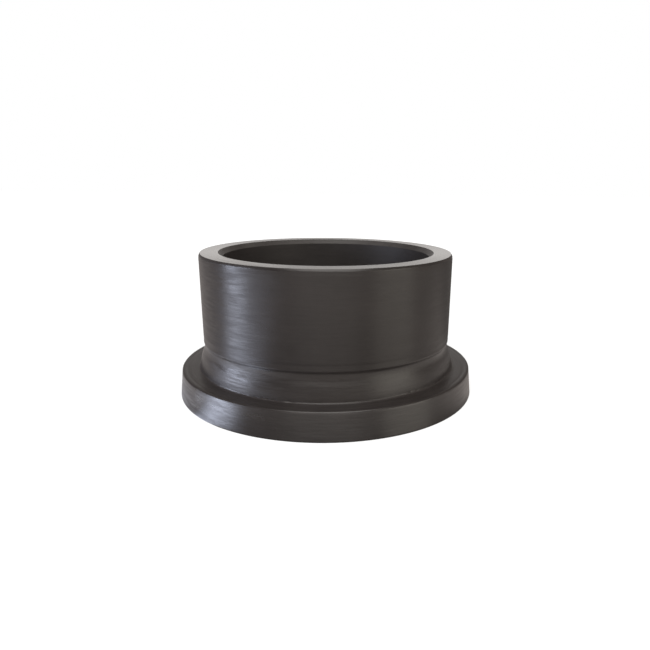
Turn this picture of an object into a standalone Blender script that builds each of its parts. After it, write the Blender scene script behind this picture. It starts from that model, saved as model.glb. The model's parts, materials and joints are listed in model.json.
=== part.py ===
"""Lap joint stub end for a plastic pressure pipe, in metres, standing on its gasket face with +Z up.

It is one turned body. The collar at its foot is clamped by a loose backing ring, and the plain
spigot above is butt welded to the pipe. A tapered shoulder joins the two and centres the ring.
The whole body is one closed outline in the XZ plane, turned once round the Z axis.
"""

import math

import bmesh
import bpy

# Spigot, the plain end that is welded to the pipe
SPIGOT_DIAMETER = 0.225
SPIGOT_WALL = 0.0205
TOTAL_HEIGHT = 0.126
RIM_CHAMFER = 0.004
RIM_ROUND = 0.001

# Collar, with the lap face above it and the gasket face below it
COLLAR_DIAMETER = 0.268
COLLAR_THICKNESS = 0.024
COLLAR_DRAFT = math.radians(6.4)
COLLAR_ROUND = 0.001

# Shoulder between the collar and the spigot, hollow at its top and crowned below that
SHOULDER_STEP = 0.0045
SHOULDER_HEIGHT = 0.0215
SHOULDER_SLOPE = math.radians(24)
COVE_HEIGHT = 0.006
FOOT_FILLET = 0.001

# Relief groove that the turning tool leaves where the shoulder starts
GROOVE_WIDTH = 0.0035
GROOVE_SLOPE = math.radians(22)

# Sealing grooves in the gasket face
SEAL_GROOVE_PITCH = 0.006
SEAL_GROOVE_WIDTH = 0.0016
SEAL_GROOVE_DEPTH = 0.0006
SEAL_PLAIN_BORDER = 0.009
MOUTH_CHAMFER = 0.0015

# Fineness of the mesh
TURN_STEPS = 96
EDGE_STEPS = 2
GROOVE_STEPS = 2
COVE_STEPS = 3
CROWN_STEPS = 5
FILLET_STEPS = 3

# Black polyethylene with a turned, satin surface
POLYETHYLENE_COLOUR = (0.046, 0.042, 0.040, 1.0)
POLYETHYLENE_ROUGHNESS = 0.42
POLYETHYLENE_METALLIC = 0.0
SHARP_ANGLE = math.radians(35)

# Sizes that follow from the ones above
SPIGOT_RADIUS = SPIGOT_DIAMETER / 2
BORE_RADIUS = SPIGOT_RADIUS - SPIGOT_WALL
SHOULDER_TOP = COLLAR_THICKNESS + SHOULDER_HEIGHT
FOOT_RADIUS = SPIGOT_RADIUS + SHOULDER_STEP


def arc(centre, radius, start, end, steps):
    """Points on a circle from one angle to another, both ends included, as (r, z) pairs."""
    points = []
    for step in range(steps + 1):
        angle = start + (end - start) * step / steps
        points.append((centre[0] + radius * math.cos(angle), centre[1] + radius * math.sin(angle)))
    return points


def flank(start, first_slope, last_slope, drop, steps):
    """Points along an arc that runs down by the drop while its slope turns from the first to the last.

    A slope is the angle to the vertical, positive where the outline widens on its way down.
    """
    radius = drop / (math.sin(last_slope) - math.sin(first_slope))
    points = []
    for step in range(steps + 1):
        slope = first_slope + (last_slope - first_slope) * step / steps
        outward = radius * (math.cos(first_slope) - math.cos(slope))
        down = radius * (math.sin(slope) - math.sin(first_slope))
        points.append((start[0] + outward, start[1] - down))
    return points


def rim():
    """The cut end: the lip of the bore's chamfer, the flat ring, and the rounded outer edge."""
    inner_edge = (BORE_RADIUS + RIM_CHAMFER, TOTAL_HEIGHT)
    round_centre = (SPIGOT_RADIUS - RIM_ROUND, TOTAL_HEIGHT - RIM_ROUND)
    return [inner_edge] + arc(round_centre, RIM_ROUND, math.pi / 2, 0.0, EDGE_STEPS)


def relief_groove():
    """The shallow groove above the shoulder, from the spigot's wall down to its deepest point."""
    wall = (SPIGOT_RADIUS, SHOULDER_TOP + GROOVE_WIDTH)
    upper = flank(wall, 0.0, -GROOVE_SLOPE, GROOVE_WIDTH / 2, GROOVE_STEPS)
    lower = flank(upper[-1], -GROOVE_SLOPE, 0.0, GROOVE_WIDTH / 2, GROOVE_STEPS)
    return upper[:-1] + lower


def shoulder():
    """The taper below the groove, without its first and last points: a hollow cove, then a crown."""
    cove = flank(relief_groove()[-1], 0.0, SHOULDER_SLOPE, COVE_HEIGHT, COVE_STEPS)
    start = cove[-1]
    drop = start[1] - COLLAR_THICKNESS - FOOT_FILLET
    chord_slope = math.atan2(FOOT_RADIUS - start[0], drop)
    crown = flank(start, SHOULDER_SLOPE, 2 * chord_slope - SHOULDER_SLOPE, drop, CROWN_STEPS)
    return cove[1:-1] + crown[:-1]


def foot():
    """The hollow fillet between the shoulder and the lap face."""
    centre = (FOOT_RADIUS + FOOT_FILLET, COLLAR_THICKNESS + FOOT_FILLET)
    return arc(centre, FOOT_FILLET, math.pi, 1.5 * math.pi, FILLET_STEPS)


def collar_edge_centre(height):
    """Centre of a rounded collar edge at this height, just inside the drafted outer face."""
    face_radius = COLLAR_DIAMETER / 2 + math.tan(COLLAR_DRAFT) * (COLLAR_THICKNESS / 2 - height)
    return face_radius - COLLAR_ROUND / math.cos(COLLAR_DRAFT), height


def collar():
    """The collar's drafted outer face, nominal at half its thickness, between its two rounded edges."""
    top = collar_edge_centre(COLLAR_THICKNESS - COLLAR_ROUND)
    bottom = collar_edge_centre(COLLAR_ROUND)
    upper_edge = arc(top, COLLAR_ROUND, math.pi / 2, COLLAR_DRAFT, EDGE_STEPS)
    lower_edge = arc(bottom, COLLAR_ROUND, COLLAR_DRAFT, -math.pi / 2, EDGE_STEPS)
    return upper_edge + lower_edge


def sealing_grooves():
    """V grooves in the gasket face, spread evenly between its plain borders, from the outside in."""
    outer = COLLAR_DIAMETER / 2 - SEAL_PLAIN_BORDER
    inner = BORE_RADIUS + SEAL_PLAIN_BORDER
    gaps = max(0, int((outer - inner) / SEAL_GROOVE_PITCH))
    first = (outer + inner + gaps * SEAL_GROOVE_PITCH) / 2
    points = []
    for index in range(gaps + 1):
        middle = first - index * SEAL_GROOVE_PITCH
        points.append((middle + SEAL_GROOVE_WIDTH / 2, 0.0))
        points.append((middle, SEAL_GROOVE_DEPTH))
        points.append((middle - SEAL_GROOVE_WIDTH / 2, 0.0))
    return points


def bore():
    """The bore, from its chamfered mouth in the gasket face up to the chamfer at the cut end."""
    return [
        (BORE_RADIUS + MOUTH_CHAMFER, 0.0),
        (BORE_RADIUS, MOUTH_CHAMFER),
        (BORE_RADIUS, TOTAL_HEIGHT - RIM_CHAMFER),
    ]


def outline():
    """The whole section as one closed loop of (r, z) points, down the outside and up the bore."""
    outside = rim() + relief_groove() + shoulder() + foot() + collar()
    return outside + sealing_grooves() + bore()


def turned_mesh(name, points):
    """A closed mesh made by turning the section once round the Z axis."""
    shape = bmesh.new()
    corners = [shape.verts.new((radius, 0.0, height)) for radius, height in points]
    sides = [shape.edges.new((corners[i - 1], corners[i])) for i in range(len(corners))]
    bmesh.ops.spin(
        shape,
        geom=corners + sides,
        cent=(0.0, 0.0, 0.0),
        axis=(0.0, 0.0, 1.0),
        angle=math.tau,
        steps=TURN_STEPS,
        use_merge=True,
    )
    bmesh.ops.recalc_face_normals(shape, faces=shape.faces)
    mesh = bpy.data.meshes.new(name)
    shape.to_mesh(mesh)
    shape.free()
    mesh.shade_smooth()
    mesh.set_sharp_from_angle(angle=SHARP_ANGLE)
    return mesh


def polyethylene():
    """Black polyethylene with a satin, turned surface."""
    material = bpy.data.materials.new("black_polyethylene")
    material.use_nodes = True
    shader = material.node_tree.nodes["Principled BSDF"]
    shader.inputs["Base Color"].default_value = POLYETHYLENE_COLOUR
    shader.inputs["Roughness"].default_value = POLYETHYLENE_ROUGHNESS
    shader.inputs["Metallic"].default_value = POLYETHYLENE_METALLIC
    material.diffuse_color = POLYETHYLENE_COLOUR
    return material


def clear_scene():
    """Removes whatever the open file holds."""
    for item in list(bpy.data.objects):
        bpy.data.objects.remove(item, do_unlink=True)


def main():
    """Builds the stub end at the origin."""
    clear_scene()
    mesh = turned_mesh("stub_end", outline())
    mesh.materials.append(polyethylene())
    bpy.context.scene.collection.objects.link(bpy.data.objects.new("stub_end", mesh))


main()
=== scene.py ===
"""Looks of a lap joint stub end: one turned body of black polyethylene on a pale studio floor.

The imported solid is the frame. A finer turning of the same section stands for it here, with the
marks of the lathe in its mesh and its finishes, and a soft studio lights it as in the photograph.
"""

import json
import logging
import math
from dataclasses import dataclass
from enum import Enum

import bpy
from mathutils import Matrix, Vector, noise

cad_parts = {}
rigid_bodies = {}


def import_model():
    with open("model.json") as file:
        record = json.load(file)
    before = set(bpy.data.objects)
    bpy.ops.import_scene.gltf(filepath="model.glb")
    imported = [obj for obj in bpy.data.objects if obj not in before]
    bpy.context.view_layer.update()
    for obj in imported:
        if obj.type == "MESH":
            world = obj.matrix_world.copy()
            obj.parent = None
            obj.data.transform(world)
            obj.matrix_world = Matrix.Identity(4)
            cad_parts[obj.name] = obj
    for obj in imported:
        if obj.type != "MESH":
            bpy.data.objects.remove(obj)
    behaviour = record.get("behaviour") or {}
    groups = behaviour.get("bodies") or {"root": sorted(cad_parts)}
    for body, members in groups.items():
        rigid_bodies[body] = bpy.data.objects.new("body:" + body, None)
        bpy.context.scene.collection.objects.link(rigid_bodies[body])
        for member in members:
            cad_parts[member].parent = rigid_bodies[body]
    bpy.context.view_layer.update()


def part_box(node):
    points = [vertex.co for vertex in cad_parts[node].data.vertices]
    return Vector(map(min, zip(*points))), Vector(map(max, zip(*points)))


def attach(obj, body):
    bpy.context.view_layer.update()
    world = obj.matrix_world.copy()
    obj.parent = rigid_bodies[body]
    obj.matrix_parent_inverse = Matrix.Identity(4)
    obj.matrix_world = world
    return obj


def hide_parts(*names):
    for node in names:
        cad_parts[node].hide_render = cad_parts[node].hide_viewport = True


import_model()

Point = tuple[float, float]
Span = tuple[float, float]
Place = tuple[float, float, float]
Colour = tuple[float, float, float]
Socket = bpy.types.NodeSocket

NODE = "stub_end"
BODY = "root"
FRAME_PIXELS = 650
MILLIMETRE = 0.001

WHITE: Colour = (1.0, 1.0, 1.0)
WINDOW_LIGHT: Colour = (0.76, 0.82, 1.0)
DARK: Colour = (0.0175, 0.0142, 0.0132)
PALE: Colour = (0.0265, 0.0220, 0.0205)
SAWN: Colour = (0.060, 0.054, 0.052)
SCRAPED: Colour = (0.050, 0.045, 0.042)

# The heading, as x and y, in which the marks show most
MARKED_SIDE: Point = (-0.64, -0.77)

# A quarter turn, which stretches the highlight across the marks
ACROSS_MARKS = 0.25

logging.basicConfig(level=logging.INFO, format="%(message)s")
log = logging.getLogger("stub_end")


class Zone(Enum):
    """The surfaces of the body that are finished in different ways. The value is the material's place."""

    SPIGOT = 0
    SHOULDER = 1
    LAP_FACE = 2
    COLLAR = 3
    CUT_END = 4
    BORE = 5
    GASKET_FACE = 6
    EDGE = 7
    CHAMFER = 8


def arc(centre: Point, radius: float, start: float, end: float, steps: int) -> list[Point]:
    """Points on a circle, both ends included.

    Args:
        centre: the circle's centre, as distance from the axis and height.
        radius: its radius.
        start: first angle in degrees, 0 pointing away from the axis and 90 up.
        end: last angle in degrees.
        steps: number of equal steps.

    Returns:
        The points, as distance from the axis and height.
    """
    points = []
    for step in range(steps + 1):
        angle = math.radians(start + (end - start) * step / steps)
        points.append((centre[0] + radius * math.cos(angle), centre[1] + radius * math.sin(angle)))
    return points


def straight(start: Point, end: Point, spacing: float) -> list[Point]:
    """Evenly spaced points on a straight line, both ends included.

    Args:
        start: first point.
        end: last point.
        spacing: the widest gap that two neighbouring points may have.

    Returns:
        The points.
    """
    steps = max(1, math.ceil(math.dist(start, end) / spacing))
    return [
        (start[0] + (end[0] - start[0]) * step / steps, start[1] + (end[1] - start[1]) * step / steps)
        for step in range(steps + 1)
    ]


def bow(start: Point, end: Point, rise: float, steps: int) -> list[Point]:
    """Points on a shallow arc, both ends included.

    Args:
        start: first point.
        end: last point.
        rise: how far the arc's middle stands to the left of the line from start to end.
        steps: number of equal steps.

    Returns:
        The points.
    """
    run = (end[0] - start[0], end[1] - start[1])
    chord = math.hypot(*run)
    across = (-run[1] / chord, run[0] / chord)
    half_angle = 2 * math.atan2(2 * rise, chord)
    radius = chord / (2 * math.sin(half_angle))
    points = []
    for step in range(steps + 1):
        angle = half_angle * (2 * step / steps - 1)
        along = 0.5 + radius * math.sin(angle) / chord
        height = radius * (math.cos(angle) - math.cos(half_angle))
        points.append(
            (start[0] + run[0] * along + across[0] * height, start[1] + run[1] * along + across[1] * height)
        )
    return points


def flank(start: Point, first_slope: float, last_slope: float, drop: float, steps: int) -> list[Point]:
    """Points along an arc that runs down while its slope turns, both ends included.

    Args:
        start: first point.
        first_slope: slope at the first point in degrees from the vertical, positive where it widens.
        last_slope: slope at the last point.
        drop: how far the arc runs down.
        steps: number of equal steps.

    Returns:
        The points.
    """
    first, last = math.radians(first_slope), math.radians(last_slope)
    radius = drop / (math.sin(last) - math.sin(first))
    points = []
    for step in range(steps + 1):
        slope = first + (last - first) * step / steps
        outward = radius * (math.cos(first) - math.cos(slope))
        points.append((start[0] + outward, start[1] - radius * (math.sin(slope) - math.sin(first))))
    return points


def opaque(colour: Colour) -> tuple[float, float, float, float]:
    """The colour as a colour socket takes it."""
    return (*colour, 1.0)


def grey(level: float) -> tuple[float, float, float, float]:
    """A grey of this level as a colour socket takes it."""
    return (level, level, level, 1.0)


@dataclass(frozen=True)
class Stretch:
    """A run of the section with one finish, and how far it may wander from its true radius."""

    zone: Zone
    points: list[Point]
    wander: float = 0.0


@dataclass(frozen=True)
class TurnedSection:
    """The section of the body, down its outside and up its bore, in metres and degrees."""

    height: float
    spigot_radius: float = 112.5 * MILLIMETRE
    bore_radius: float = 92.0 * MILLIMETRE
    rim_chamfer: float = 4.0 * MILLIMETRE
    mouth_chamfer: float = 1.5 * MILLIMETRE

    # Broken edges
    rim_edge_width: float = 1.2 * MILLIMETRE
    rim_edge_height: float = 2.1 * MILLIMETRE
    lap_edge_width: float = 0.9 * MILLIMETRE
    edge_rise: float = 0.10 * MILLIMETRE
    lip_break: float = 0.2 * MILLIMETRE

    # Fine steps in the spigot's wall, where the tool took a new pass
    lead_in: float = 0.20 * MILLIMETRE
    lead_in_slope: float = 6.0
    step_depth: float = 0.14 * MILLIMETRE
    step_height: float = 0.6 * MILLIMETRE
    step_below_rim: float = 3.9 * MILLIMETRE
    step_above_groove: float = 4.6 * MILLIMETRE

    # Relief groove and shoulder
    groove_width: float = 3.5 * MILLIMETRE
    groove_slope: float = 22.0
    shoulder_step: float = 4.5 * MILLIMETRE
    shoulder_height: float = 21.5 * MILLIMETRE
    shoulder_slope: float = 24.0
    cove_height: float = 6.0 * MILLIMETRE
    foot_fillet: float = 1.0 * MILLIMETRE
    fillet_reach: float = 1.4 * MILLIMETRE
    fillet_sag: float = 0.20 * MILLIMETRE

    # Collar, with the tool's faint ring on its lap face and the grooves in its gasket face
    collar_radius: float = 134.0 * MILLIMETRE
    collar_inset: float = 0.03 * MILLIMETRE
    collar_thickness: float = 24.0 * MILLIMETRE
    collar_draft: float = 6.4
    collar_round: float = 1.0 * MILLIMETRE
    lap_ring_radius: float = 128.3 * MILLIMETRE
    lap_ring_width: float = 3.0 * MILLIMETRE
    lap_ring_depth: float = 0.12 * MILLIMETRE
    seal_groove_pitch: float = 6.0 * MILLIMETRE
    seal_groove_width: float = 1.6 * MILLIMETRE
    seal_groove_depth: float = 0.6 * MILLIMETRE
    seal_border: float = 9.0 * MILLIMETRE

    # Fineness of the mesh
    wall_spacing: float = 2.0 * MILLIMETRE
    face_spacing: float = 3.0 * MILLIMETRE
    bore_spacing: float = 5.0 * MILLIMETRE
    lip_steps: int = 3
    lead_in_steps: int = 5
    rim_edge_steps: int = 7
    edge_steps: int = 6
    groove_steps: int = 6
    cove_steps: int = 10
    crown_steps: int = 16
    fillet_steps: int = 7
    lap_ring_steps: int = 6
    seal_groove_steps: int = 4

    @property
    def shoulder_top(self) -> float:
        """Height of the corner between the groove and the shoulder."""
        return self.collar_thickness + self.shoulder_height

    def collar_face(self, height: float) -> float:
        """Radius of the collar's drafted face at this height, inset to keep its wander in the solid."""
        slope = math.tan(math.radians(self.collar_draft))
        return self.collar_radius - self.collar_inset + slope * (self.collar_thickness / 2 - height)

    def lower_edge_centre(self) -> Point:
        """Centre of the rounded edge round the gasket face."""
        inset = self.collar_round / math.cos(math.radians(self.collar_draft))
        return self.collar_face(self.collar_round) - inset, self.collar_round

    def lip(self) -> list[Point]:
        """The softened corner between the bore's chamfer and the cut end, from the chamfer outwards."""
        centre = (self.bore_radius + self.rim_chamfer, self.height - self.lip_break)
        return arc(centre, self.lip_break, 135, 90, self.lip_steps)

    def cut_end(self) -> list[Stretch]:
        """The sawn ring at the top, from the chamfer's lip to the broken outer edge.

        Returns:
            The ring and its edge.
        """
        inner = self.bore_radius + self.rim_chamfer
        outer = self.spigot_radius - self.lead_in
        ring_end = (outer - self.rim_edge_width, self.height)
        ring = straight((inner, self.height), ring_end, self.face_spacing)
        edge_end = (outer, self.height - self.rim_edge_height)
        edge = bow(ring[-1], edge_end, self.edge_rise, self.rim_edge_steps)
        return [
            Stretch(Zone.CUT_END, self.lip()[:-1] + ring, wander=0.04 * MILLIMETRE),
            Stretch(Zone.EDGE, edge, wander=0.10 * MILLIMETRE),
        ]

    def stepped_wall(self, top: float, bottom: float) -> list[Point]:
        """The spigot's wall, with a fine step below the rim and another above the groove.

        Args:
            top: height of the wall's upper end.
            bottom: height of its lower end.

        Returns:
            Points down the wall.
        """
        wall = self.spigot_radius
        upper = self.height - self.step_below_rim
        lower = self.shoulder_top + self.groove_width + self.step_above_groove
        proud = wall + self.step_depth
        shallow = wall - self.step_depth
        band_drop = top - upper - self.step_height
        band = flank((wall - self.lead_in, top), self.lead_in_slope, 0.0, band_drop, self.lead_in_steps)
        band = [(min(radius, proud), height) for radius, height in band]
        middle = straight((wall, upper), (wall, lower), self.wall_spacing)
        foot = straight((shallow, lower - self.step_height), (wall, bottom), self.wall_spacing)
        return band + middle + foot

    def shoulder(self, wall_foot: Point) -> list[Point]:
        """The relief groove, the hollow cove below it and the crown that runs down to the fillet.

        Args:
            wall_foot: where the spigot's wall ends.

        Returns:
            Points down the shoulder.
        """
        half_groove = self.groove_width / 2
        upper_flank = flank(wall_foot, 0.0, -self.groove_slope, half_groove, self.groove_steps)
        lower_flank = flank(upper_flank[-1], -self.groove_slope, 0.0, half_groove, self.groove_steps)
        cove = flank(lower_flank[-1], 0.0, self.shoulder_slope, self.cove_height, self.cove_steps)
        drop = cove[-1][1] - self.collar_thickness - self.foot_fillet
        reach = self.spigot_radius + self.shoulder_step - cove[-1][0]
        last_slope = 2 * math.degrees(math.atan2(reach, drop)) - self.shoulder_slope
        crown = flank(cove[-1], self.shoulder_slope, last_slope, drop, self.crown_steps)
        return upper_flank[:-1] + lower_flank[:-1] + cove[:-1] + crown

    def ringed_lap_face(self, inner: Point, outer: Point) -> list[Point]:
        """The lap face with the shallow ring that the tool left near its outer edge.

        Args:
            inner: where the fillet ends.
            outer: where the collar's broken upper edge starts.

        Returns:
            Points outwards along the face.
        """
        start = (self.lap_ring_radius - self.lap_ring_width / 2, inner[1])
        end = (self.lap_ring_radius + self.lap_ring_width / 2, inner[1])
        ring = bow(start, end, -self.lap_ring_depth, self.lap_ring_steps)
        return straight(inner, start, self.face_spacing)[:-1] + ring + [outer]

    def outside(self) -> list[Stretch]:
        """Spigot, relief groove, shoulder, fillet, lap face and collar.

        Returns:
            Their stretches, from the top down.
        """
        wall_foot = (self.spigot_radius, self.shoulder_top + self.groove_width)
        wall = self.stepped_wall(self.height - self.rim_edge_height, wall_foot[1])
        shoulder = self.shoulder(wall_foot)
        fillet_end = (self.spigot_radius + self.shoulder_step + self.fillet_reach, self.collar_thickness)
        fillet = bow(shoulder[-1], fillet_end, -self.fillet_sag, self.fillet_steps)
        lap_end = (self.collar_face(self.collar_thickness) - self.lap_edge_width, self.collar_thickness)
        side_top = self.collar_thickness - self.lap_edge_width
        upper_edge = bow(lap_end, (self.collar_face(side_top), side_top), self.edge_rise, self.edge_steps)
        lap_face = self.ringed_lap_face(fillet[-1], upper_edge[0])
        lower_edge = arc(
            self.lower_edge_centre(), self.collar_round, self.collar_draft, -90, self.edge_steps
        )
        side = straight(upper_edge[-1], lower_edge[0], self.wall_spacing)
        return [
            Stretch(Zone.SPIGOT, wall, wander=0.03 * MILLIMETRE),
            Stretch(Zone.SHOULDER, shoulder, wander=0.06 * MILLIMETRE),
            Stretch(Zone.SHOULDER, fillet, wander=0.28 * MILLIMETRE),
            Stretch(Zone.LAP_FACE, lap_face, wander=0.05 * MILLIMETRE),
            Stretch(Zone.EDGE, upper_edge, wander=0.08 * MILLIMETRE),
            Stretch(Zone.COLLAR, side, wander=0.03 * MILLIMETRE),
            Stretch(Zone.EDGE, lower_edge, wander=0.05 * MILLIMETRE),
        ]

    def gasket_face(self) -> Stretch:
        """The face that the part stands on, with its sealing grooves.

        Returns:
            Its stretch, from the outside in.
        """
        outer = self.collar_radius - self.seal_border
        inner = self.bore_radius + self.seal_border
        gaps = int((outer - inner) / self.seal_groove_pitch)
        first = (outer + inner + gaps * self.seal_groove_pitch) / 2
        points = [(self.lower_edge_centre()[0], 0.0)]
        for index in range(gaps + 1):
            middle = first - index * self.seal_groove_pitch
            start = (middle + self.seal_groove_width / 2, 0.0)
            end = (middle - self.seal_groove_width / 2, 0.0)
            points += bow(start, end, -self.seal_groove_depth, self.seal_groove_steps)
        return Stretch(Zone.GASKET_FACE, points + [(self.bore_radius + self.mouth_chamfer, 0.0)])

    def bore(self) -> list[Stretch]:
        """The bore, from its mouth in the gasket face up to the chamfer at the cut end.

        Returns:
            The mouth's chamfer, the bore's wall and the upper chamfer.
        """
        mouth_foot = (self.bore_radius + self.mouth_chamfer, 0.0)
        mouth = (self.bore_radius, self.mouth_chamfer)
        throat = (self.bore_radius, self.height - self.rim_chamfer)
        rim = (self.bore_radius + self.rim_chamfer, self.height)
        chamfer = straight(throat, rim, self.wall_spacing)[:-1] + self.lip()[:1]
        return [
            Stretch(Zone.BORE, straight(mouth_foot, mouth, self.wall_spacing)),
            Stretch(Zone.BORE, straight(mouth, throat, self.bore_spacing), wander=0.03 * MILLIMETRE),
            Stretch(Zone.CHAMFER, chamfer, wander=0.04 * MILLIMETRE),
        ]

    def stretches(self) -> list[Stretch]:
        """The whole section as one closed loop."""
        return self.cut_end() + self.outside() + [self.gasket_face()] + self.bore()


@dataclass(frozen=True)
class NodeBench:
    """A material's node tree, with short ways to add nodes and to join them."""

    tree: bpy.types.NodeTree

    def add(self, kind: str, **settings: object) -> bpy.types.Node:
        """Adds a node.

        Args:
            kind: the node's type name.
            settings: its attributes, by name.

        Returns:
            The node.
        """
        node = self.tree.nodes.new(kind)
        for name, value in settings.items():
            setattr(node, name, value)
        return node

    def feed(self, value: object, socket: Socket) -> None:
        """Joins an output to a socket, or sets the socket if the value is a plain one.

        Args:
            value: an output, a number or a colour.
            socket: the input that takes it.
        """
        if isinstance(value, Socket):
            self.tree.links.new(value, socket)
        else:
            socket.default_value = value

    def math(self, operation: str, *values: object) -> Socket:
        """Adds a math node.

        Args:
            operation: its operation.
            values: outputs or numbers, in the order of its sockets.

        Returns:
            Its output.
        """
        node = self.add("ShaderNodeMath", operation=operation)
        for value, socket in zip(values, node.inputs):
            self.feed(value, socket)
        return node.outputs["Value"]

    def blend(self, *parts: tuple[Socket, float]) -> Socket:
        """Adds up patterns by their shares.

        Args:
            parts: each pattern with its share.

        Returns:
            The sum.
        """
        total, *rest = [self.math("MULTIPLY", value, share) for value, share in parts]
        for part in rest:
            total = self.math("ADD", total, part)
        return total

    def noise(self, vector: object, scale: float, detail: float, roughness: float) -> Socket:
        """Adds a noise texture.

        Args:
            vector: where it is read.
            scale: its scale.
            detail: its number of octaves.
            roughness: how strong the finer octaves are.

        Returns:
            Its value from 0 to 1.
        """
        node = self.add("ShaderNodeTexNoise")
        self.feed(vector, node.inputs["Vector"])
        node.inputs["Scale"].default_value = scale
        node.inputs["Detail"].default_value = detail
        node.inputs["Roughness"].default_value = roughness
        return node.outputs["Fac"]

    def spread(self, value: object, span: Span, result: Span = (0.0, 1.0)) -> Socket:
        """Maps a value from one span to another, held at both ends.

        Args:
            value: the value to map.
            span: its lowest and highest values.
            result: what those two become.

        Returns:
            The mapped value.
        """
        node = self.add("ShaderNodeMapRange")
        self.feed(value, node.inputs["Value"])
        node.inputs["From Min"].default_value, node.inputs["From Max"].default_value = span
        node.inputs["To Min"].default_value, node.inputs["To Max"].default_value = result
        return node.outputs["Result"]

    def mix(self, amount: object, first: object, second: object) -> Socket:
        """Mixes two colours.

        Args:
            amount: share of the second colour.
            first: first colour.
            second: second colour.

        Returns:
            The mixed colour.
        """
        node = self.add("ShaderNodeMix", data_type="RGBA")
        self.feed(amount, node.inputs["Factor"])
        # The colour sockets share their names with others, so they go by their places
        self.feed(first, node.inputs[6])
        self.feed(second, node.inputs[7])
        return node.outputs[2]

    def rays(self) -> tuple[Socket, Socket]:
        """Adds a light path node.

        Returns:
            1 where the camera looks straight on, and 1 where gloss or glass looks.
        """
        path = self.add("ShaderNodeLightPath").outputs
        return path["Is Camera Ray"], self.math("MAXIMUM", path["Is Glossy Ray"], path["Is Transmission Ray"])


@dataclass(frozen=True)
class LatheMarks:
    """The patterns of a finish, as outputs of its nodes."""

    fine: Socket
    bands: Socket
    blotches: Socket
    feed: Socket
    unevenness: Socket


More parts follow.
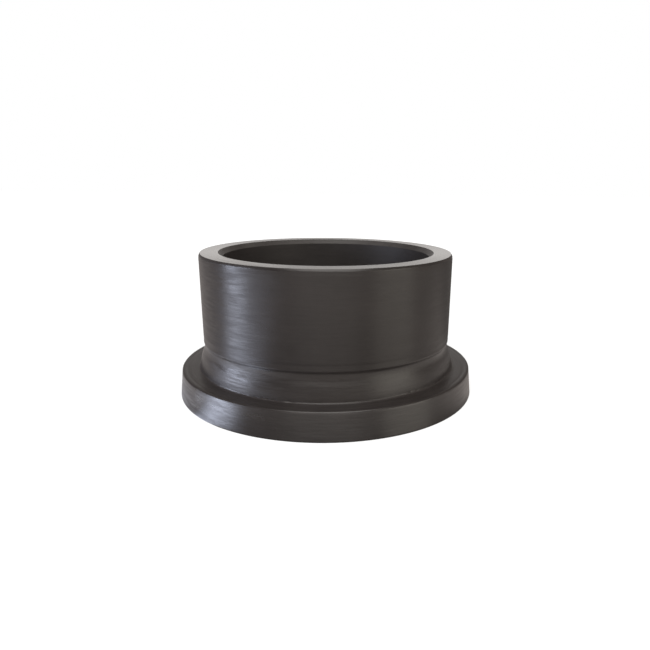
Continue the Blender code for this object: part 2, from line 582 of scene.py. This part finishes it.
@dataclass(frozen=True)
class PolyethyleneFinish:
    """Black polyethylene as one cutting tool or another left it.

    The marks run round the axis. They are read along the section, at height less radius, which
    changes on the walls as on the flat faces and has no seam. The sheen is uneven where a surface
    faces the marked side, and calmer elsewhere.
    """

    name: str
    dark: Colour
    pale: Colour
    roughness: Span
    feed_pitch: float = 0.9 * MILLIMETRE
    feed_depth: float = 0.004 * MILLIMETRE
    feed_drift: float = 9.0
    streak_depth: float = 0.12 * MILLIMETRE
    streak_scale: float = 450.0
    streak_share: float = 0.10
    band_depth: float = 0.06 * MILLIMETRE
    band_scale: float = 190.0
    blotch_scale: float = 34.0
    anisotropy: float = 0.0
    specular: float = 0.5
    calm_share: float = 0.3
    marked_span: Span = (0.90, 0.99)
    streak_tone: float = 0.45
    blotch_tone: float = 0.55
    tone_span: Span = (0.34, 0.68)
    streak_sheen: float = 0.5
    blotch_sheen: float = 0.2
    band_sheen: float = 0.3
    sheen_span: Span = (0.40, 0.60)

    def marks(self, bench: NodeBench) -> LatheMarks:
        """Adds the patterns of the lathe's marks.

        Args:
            bench: the material's node tree.

        Returns:
            Fine streaks, broad bands, blotches, the feed marks, and how uneven the sheen is.
        """
        place = bench.add("ShaderNodeTexCoord").outputs["Object"]
        parts = bench.add("ShaderNodeSeparateXYZ")
        bench.feed(place, parts.inputs[0])
        x, y, z = parts.outputs
        squares = bench.math("ADD", bench.math("MULTIPLY", x, x), bench.math("MULTIPLY", y, y))
        radius = bench.math("SQRT", squares)
        along = bench.math("SUBTRACT", z, radius)
        round_way = bench.add("ShaderNodeCombineXYZ")
        bench.feed(bench.math("MULTIPLY", x, self.streak_share), round_way.inputs[0])
        bench.feed(bench.math("MULTIPLY", y, self.streak_share), round_way.inputs[1])
        bench.feed(along, round_way.inputs[2])
        bands = bench.noise(round_way.outputs[0], self.band_scale, detail=2.0, roughness=0.5)
        turn = bench.blend((along, math.tau / self.feed_pitch), (bands, self.feed_drift))
        toward = bench.blend((x, MARKED_SIDE[0]), (y, MARKED_SIDE[1]))
        facing = bench.math("DIVIDE", toward, radius)
        return LatheMarks(
            fine=bench.noise(round_way.outputs[0], self.streak_scale, detail=2.0, roughness=0.6),
            bands=bands,
            blotches=bench.noise(place, self.blotch_scale, detail=3.0, roughness=0.55),
            feed=bench.math("SINE", turn),
            unevenness=bench.spread(facing, self.marked_span, (self.calm_share, 1.0)),
        )

    def relief(self, bench: NodeBench, marks: LatheMarks) -> Socket:
        """Adds the bump of the marks.

        Args:
            bench: the material's node tree.
            marks: the lathe's marks.

        Returns:
            The bumped normal.
        """
        height = bench.blend(
            (marks.fine, self.streak_depth), (marks.bands, self.band_depth), (marks.feed, self.feed_depth / 2)
        )
        bump = bench.add("ShaderNodeBump")
        bump.inputs["Strength"].default_value = 1.0
        bump.inputs["Distance"].default_value = 1.0
        bench.feed(height, bump.inputs["Height"])
        return bump.outputs["Normal"]

    def sheen(self, bench: NodeBench, marks: LatheMarks) -> Socket:
        """Adds the uneven roughness.

        Args:
            bench: the material's node tree.
            marks: the lathe's marks.

        Returns:
            The roughness.
        """
        pattern = bench.blend(
            (marks.fine, self.streak_sheen),
            (marks.blotches, self.blotch_sheen),
            (marks.bands, self.band_sheen),
        )
        middle = sum(self.sheen_span) / 2
        uneven = bench.math(
            "MULTIPLY_ADD", bench.math("SUBTRACT", pattern, middle), marks.unevenness, middle
        )
        return bench.spread(uneven, self.sheen_span, self.roughness)

    def material(self) -> bpy.types.Material:
        """Builds the material.

        Returns:
            The material.
        """
        material = bpy.data.materials.new(self.name)
        material.use_nodes = True
        bench = NodeBench(material.node_tree)
        shader = material.node_tree.nodes["Principled BSDF"]
        marks = self.marks(bench)
        tone = bench.blend((marks.fine, self.streak_tone), (marks.blotches, self.blotch_tone))
        amount = bench.spread(tone, self.tone_span)
        bench.feed(bench.mix(amount, opaque(self.dark), opaque(self.pale)), shader.inputs["Base Color"])
        bench.feed(self.sheen(bench, marks), shader.inputs["Roughness"])
        bench.feed(self.relief(bench, marks), shader.inputs["Normal"])
        shader.inputs["Specular IOR Level"].default_value = self.specular
        if self.anisotropy:
            tangent = bench.add("ShaderNodeTangent", direction_type="RADIAL", axis="Z")
            bench.feed(tangent.outputs["Tangent"], shader.inputs["Tangent"])
            shader.inputs["Anisotropic"].default_value = self.anisotropy
            shader.inputs["Anisotropic Rotation"].default_value = ACROSS_MARKS
        return material


FINISHES: dict[Zone, PolyethyleneFinish] = {
    Zone.SPIGOT: PolyethyleneFinish(
        "turned_spigot", DARK, PALE, (0.36, 0.555), streak_depth=0.10 * MILLIMETRE, anisotropy=0.91
    ),
    Zone.SHOULDER: PolyethyleneFinish(
        "turned_shoulder",
        DARK,
        PALE,
        (0.26, 0.53),
        streak_depth=0.10 * MILLIMETRE,
        anisotropy=0.42,
        specular=0.55,
    ),
    Zone.LAP_FACE: PolyethyleneFinish(
        "faced_lap", DARK, PALE, (0.36, 0.48), anisotropy=0.15, specular=0.6
    ),
    Zone.COLLAR: PolyethyleneFinish(
        "turned_collar",
        DARK,
        PALE,
        (0.26, 0.54),
        streak_depth=0.17 * MILLIMETRE,
        band_depth=0.08 * MILLIMETRE,
        anisotropy=0.9,
        specular=0.85,
    ),
    Zone.CUT_END: PolyethyleneFinish(
        "planed_end",
        DARK,
        SAWN,
        (0.16, 0.24),
        streak_depth=0.003 * MILLIMETRE,
        band_depth=0.006 * MILLIMETRE,
        feed_depth=0.0,
        anisotropy=0.8,
    ),
    Zone.BORE: PolyethyleneFinish("bored", DARK, PALE, (0.56, 0.66), anisotropy=0.3),
    Zone.GASKET_FACE: PolyethyleneFinish("faced_gasket", DARK, PALE, (0.38, 0.52), anisotropy=0.4),
    Zone.EDGE: PolyethyleneFinish(
        "broken_edge", DARK, PALE, (0.26, 0.34), streak_depth=0.02 * MILLIMETRE
    ),
    Zone.CHAMFER: PolyethyleneFinish("cut_chamfer", PALE, SCRAPED, (0.46, 0.58)),
}


@dataclass(frozen=True)
class StubEndBody:
    """The body as one turning of its section, with the small unevenness that hand and tool leave.

    Where a stretch of the section may wander far enough, its line is torn between the given angles.
    """

    section: TurnedSection
    turns: int = 480
    sharp_angle: float = 38.0
    broad_scale: float = 38.0
    broad_share: float = 0.55
    fine_scale: float = 300.0
    fine_share: float = 0.45
    height_scale: float = 4.0
    torn: tuple[Span, ...] = ((232.0, 258.0), (300.0, 332.0))
    torn_share: float = 4.0
    torn_from: float = 0.2 * MILLIMETRE

    def stray(self, angle: float, point: Point, wander: float) -> float:
        """How far a point strays out from its true radius.

        Args:
            angle: angle round the axis.
            point: the section's point.
            wander: the most that it may stray by.

        Returns:
            The distance, in metres.
        """
        place = Vector(
            (point[0] * math.cos(angle), point[0] * math.sin(angle), point[1] * self.height_scale)
        )
        broad = noise.noise(place * self.broad_scale)
        fine = noise.noise(place * self.fine_scale)
        if wander > self.torn_from and any(first < math.degrees(angle) < last for first, last in self.torn):
            fine *= self.torn_share
        return wander * (self.broad_share * broad + self.fine_share * fine)

    def piece(self) -> bpy.types.Object:
        """Builds the body's mesh and dresses it.

        Returns:
            The object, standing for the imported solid.
        """
        rings: list[Point] = []
        wanders: list[float] = []
        zones: list[int] = []
        for stretch in self.section.stretches():
            for point in stretch.points[:-1]:
                rings.append(point)
                wanders.append(stretch.wander)
                zones.append(stretch.zone.value)
        vertices = []
        for turn in range(self.turns):
            angle = math.tau * turn / self.turns
            for point, wander in zip(rings, wanders):
                radius = point[0] + (self.stray(angle, point, wander) if wander else 0.0)
                vertices.append((radius * math.cos(angle), radius * math.sin(angle), point[1]))
        count = len(rings)
        faces = []
        slots = []
        for turn in range(self.turns):
            here = turn * count
            there = (turn + 1) % self.turns * count
            for ring in range(count):
                below = (ring + 1) % count
                faces.append((here + ring, here + below, there + below, there + ring))
                slots.append(zones[ring])
        mesh = bpy.data.meshes.new("stub_end_body")
        mesh.from_pydata(vertices, [], faces)
        for zone in Zone:
            mesh.materials.append(FINISHES[zone].material())
        mesh.polygons.foreach_set("material_index", slots)
        mesh.shade_smooth()
        mesh.set_sharp_from_angle(angle=math.radians(self.sharp_angle))
        body = bpy.data.objects.new("stub_end_body", mesh)
        bpy.context.scene.collection.objects.link(body)
        log.info("stub_end_body: %d rings, %d triangles", count, 2 * len(faces))
        return body


@dataclass(frozen=True)
class SoftBox:
    """A flat lamp, aimed at the part unless another point is given."""

    name: str
    place: Place
    size: Span
    radiance: float
    colour: Colour
    aim: Place = (0.0, 0.0, 0.06)

    def build(self) -> bpy.types.Object:
        """Adds the lamp. Its power follows from its area, so a larger one is no brighter to look at.

        Returns:
            The lamp.
        """
        lamp = bpy.data.lights.new(self.name, "AREA")
        lamp.shape = "RECTANGLE"
        lamp.size, lamp.size_y = self.size
        lamp.energy = self.radiance * math.pi * self.size[0] * self.size[1]
        lamp.color = self.colour
        piece = bpy.data.objects.new(self.name, lamp)
        piece.location = self.place
        piece.rotation_euler = (Vector(self.aim) - Vector(self.place)).to_track_quat("-Z", "Y").to_euler()
        piece.visible_camera = False
        bpy.context.scene.collection.objects.link(piece)
        return piece


@dataclass(frozen=True)
class PaintedFloorGlow:
    """Painted light that gloss sees on the floor: on the left, on the right, in front, and in one patch.

    Each span is two places on the floor in metres, between which the light changes. The span at the
    back is y over x instead, so that the light on the right ends along lines from the part's axis.
    """

    left: float = 0.50
    left_span: Span = (-0.16, -0.05)
    right: float = 0.70
    right_span: Span = (0.105, 0.15)
    back_share: float = 0.10
    back_span: Span = (0.22, 0.62)
    front: float = 1.35
    near: float = 0.10
    front_span: Span = (-0.36, -0.18)
    patch: float = 9.0
    patch_reach: Span = (0.14, 0.21)
    patch_side: Span = (-0.108, -0.088)
    patch_front: Span = (-0.142, -0.120)
    patch_back: Span = (-0.108, -0.076)
    patch_back_share: float = 0.07

    def wide(self, bench: NodeBench, x: Socket, y: Socket) -> Socket:
        """Adds the wide stretches of painted light on the left, on the right and in front.

        Args:
            bench: the floor's node tree.
            x: the floor's x.
            y: the floor's y.

        Returns:
            Their strength.
        """
        # Painted light: the floor glows for gloss on the left, on the right and in front
        left = bench.spread(x, self.left_span, (self.left, 0.0))
        right = bench.spread(x, self.right_span, (0.0, self.right))
        backward = bench.spread(bench.math("DIVIDE", y, x), self.back_span, (1.0, self.back_share))
        sides = bench.math("MAXIMUM", left, bench.math("MULTIPLY", right, backward))
        return bench.math("MAXIMUM", sides, bench.spread(y, self.front_span, (self.front, self.near)))

    def painted_window_patch(self, bench: NodeBench, x: Socket, y: Socket, distance: Socket) -> Socket:
        """Adds the painted patch of window light on the floor, close to the collar on its left.

        Args:
            bench: the floor's node tree.
            x: the floor's x.
            y: the floor's y.
            distance: distance from the part's axis.

        Returns:
            Its strength.
        """
        # Painted light: a bright patch of window light glows on the floor by the collar, for gloss only
        near = bench.spread(distance, self.patch_reach, (1.0, 0.0))
        left = bench.spread(x, self.patch_side, (1.0, 0.0))
        front = bench.spread(y, self.patch_front)
        back = bench.spread(y, self.patch_back, (1.0, self.patch_back_share))
        depth = bench.math("MINIMUM", front, back)
        shape = bench.math("MULTIPLY", bench.math("MULTIPLY", near, left), depth)
        return bench.math("MULTIPLY", shape, self.patch)


@dataclass(frozen=True)
class Studio:
    """The floor, the white surround and the lamps.

    The camera sees white all round. Gloss sees a white backdrop behind the part, and a dim and warm
    room elsewhere.
    """

    floor_size: float = 12.0
    floor_colour: float = 0.25
    # Painted shade: the floor's paint is darker where gloss sees it than where the camera does
    floor_painted_shade_in_gloss: float = 0.12
    floor_glow: Span = (0.80, 1.0)
    floor_glow_reach: Span = (0.35, 1.2)
    # Painted light on the floor, which only gloss sees
    painted_floor_glow: PaintedFloorGlow = PaintedFloorGlow()
    ambient: float = 0.55
    ambient_colour: Colour = (1.0, 0.97, 0.94)
    backdrop_colour: Colour = (1.0, 0.965, 0.935)
    backdrop_span: Span = (0.86, 0.97)
    room: float = 0.20
    room_colour: Colour = (1.0, 0.90, 0.84)
    lamps: tuple[SoftBox, ...] = (
        SoftBox("window_left", (-1.25, -0.19, 0.26), (0.42, 0.48), 16.5, WINDOW_LIGHT),
        SoftBox("table_left", (-0.65, -0.18, 0.004), (0.9, 0.3), 2.0, (0.80, 0.85, 1.0), (-0.65, -0.18, 1.0)),
        SoftBox("patch_left", (-0.22, -0.105, 0.004), (0.14, 0.10), 2.2, WINDOW_LIGHT, (-0.22, -0.105, 1.0)),
        SoftBox("window_above", (0.0, -0.85, 1.7), (1.5, 1.7), 3.2, (1.0, 0.97, 0.93)),
        SoftBox("fill_right", (1.06, -0.65, 0.36), (0.85, 0.72), 2.1, (1.0, 0.95, 0.84)),
    )

    def surround(self) -> None:
        """Makes the world: plain light on the part, and the backdrop and the room where they are seen."""
        world = bpy.data.worlds.new("studio_surround")
        world.use_nodes = True
        bpy.context.scene.world = world
        bench = NodeBench(world.node_tree)
        world.node_tree.nodes.clear()
        heading = bench.add("ShaderNodeSeparateXYZ")
        bench.feed(bench.add("ShaderNodeTexCoord").outputs["Generated"], heading.inputs[0])
        backdrop = bench.spread(heading.outputs[1], self.backdrop_span)
        camera, gloss = bench.rays()
        level = bench.mix(gloss, grey(self.ambient), bench.math("MAXIMUM", self.room, backdrop))
        level = bench.mix(camera, level, opaque(WHITE))
        tint = bench.mix(backdrop, opaque(self.room_colour), opaque(self.backdrop_colour))
        tint = bench.mix(gloss, opaque(self.ambient_colour), tint)
        tint = bench.mix(camera, tint, opaque(WHITE))
        light = bench.add("ShaderNodeBackground")
        bench.feed(tint, light.inputs["Color"])
        bench.feed(level, light.inputs["Strength"])
        output = bench.add("ShaderNodeOutputWorld")
        bench.feed(light.outputs[0], output.inputs["Surface"])

    def floor_material(self) -> bpy.types.Material:
        """Makes the floor's paint, which glows where the camera sees it and keeps the part's shadow; gloss
        sees painted window and room light on it.

        Returns:
            The material.
        """
        material = bpy.data.materials.new("studio_floor")
        material.use_nodes = True
        bench = NodeBench(material.node_tree)
        material.node_tree.nodes.clear()
        spot = bench.add("ShaderNodeTexCoord").outputs["Object"]
        parts = bench.add("ShaderNodeSeparateXYZ")
        bench.feed(spot, parts.inputs[0])
        x, y, _ = parts.outputs
        length = bench.add("ShaderNodeVectorMath", operation="LENGTH")
        bench.feed(spot, length.inputs[0])
        distance = length.outputs["Value"]
        camera, gloss = bench.rays()
        # Painted light for gloss: the window patch and the wide stretches on the floor
        patch = self.painted_floor_glow.painted_window_patch(bench, x, y, distance)
        painted_glow = bench.math("ADD", patch, self.painted_floor_glow.wide(bench, x, y))
        shown = bench.spread(distance, self.floor_glow_reach, self.floor_glow)
        level = bench.math("ADD", bench.math("MULTIPLY", gloss, painted_glow), bench.math("MULTIPLY", camera, shown))
        # The painted light is window-coloured in its patch and room-coloured elsewhere
        in_patch = bench.math("MINIMUM", patch, 1.0)
        painted_glow_tint = bench.mix(in_patch, opaque(self.room_colour), opaque(WINDOW_LIGHT))
        paint = bench.add("ShaderNodeBsdfDiffuse")
        # Painted shade: the floor's paint is darker in reflections than to the camera
        shade = bench.mix(gloss, grey(self.floor_colour), grey(self.floor_painted_shade_in_gloss))
        bench.feed(shade, paint.inputs["Color"])
        glow = bench.add("ShaderNodeEmission")
        bench.feed(bench.mix(gloss, opaque(WHITE), painted_glow_tint), glow.inputs["Color"])
        bench.feed(level, glow.inputs["Strength"])
        both = bench.add("ShaderNodeAddShader")
        bench.feed(paint.outputs[0], both.inputs[0])
        bench.feed(glow.outputs[0], both.inputs[1])
        output = bench.add("ShaderNodeOutputMaterial")
        bench.feed(both.outputs[0], output.inputs["Surface"])
        return material

    def floor(self) -> bpy.types.Object:
        """Lays the pale floor.

        Returns:
            The floor.
        """
        half = self.floor_size / 2
        corners = [(-half, -half, 0), (half, -half, 0), (half, half, 0), (-half, half, 0)]
        mesh = bpy.data.meshes.new("studio_floor")
        mesh.from_pydata(corners, [], [(0, 1, 2, 3)])
        mesh.materials.append(self.floor_material())
        floor = bpy.data.objects.new("studio_floor", mesh)
        bpy.context.scene.collection.objects.link(floor)
        return floor

    def build(self) -> None:
        """Sets up the whole studio."""
        self.surround()
        self.floor()
        for lamp in self.lamps:
            lamp.build()
        bpy.context.scene.view_settings.view_transform = "Standard"
        log.info("studio: %d lamps", len(self.lamps))


@dataclass(frozen=True)
class PhotographCamera:
    """The camera of the photograph, as its circles and straight edges place it."""

    place: Place = (0.0, -0.5250, 0.1896)
    pitch: float = 17.185
    turn: float = 3.145
    roll: float = 0.663
    focal_pixels: float = 575.4
    sight_pixel: Point = (357.5, 354.9)
    sensor: float = 36.0
    nearest: float = 0.01

    def build(self) -> bpy.types.Object:
        """Adds the camera and makes it the scene's own.

        Returns:
            The camera.
        """
        lens = bpy.data.cameras.new("photograph_camera")
        lens.sensor_fit = "HORIZONTAL"
        lens.sensor_width = self.sensor
        lens.lens = self.sensor * self.focal_pixels / FRAME_PIXELS
        lens.shift_x = 0.5 - self.sight_pixel[0] / FRAME_PIXELS
        lens.shift_y = self.sight_pixel[1] / FRAME_PIXELS - 0.5
        lens.clip_start = self.nearest
        camera = bpy.data.objects.new("photograph_camera", lens)
        heading = Matrix.Rotation(-math.radians(self.turn), 4, "Z")
        tilt = Matrix.Rotation(math.radians(90 - self.pitch), 4, "X")
        roll = Matrix.Rotation(math.radians(self.roll), 4, "Z")
        camera.matrix_world = Matrix.Translation(self.place) @ heading @ tilt @ roll
        bpy.context.scene.collection.objects.link(camera)
        bpy.context.scene.camera = camera
        return camera


def main() -> None:
    """Builds the camera, the studio and the body."""
    PhotographCamera().build()
    Studio().build()
    lowest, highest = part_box(NODE)
    body = StubEndBody(TurnedSection(height=highest.z - lowest.z)).piece()
    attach(body, BODY)
    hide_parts(NODE)


if __name__ == "__main__":
    main()
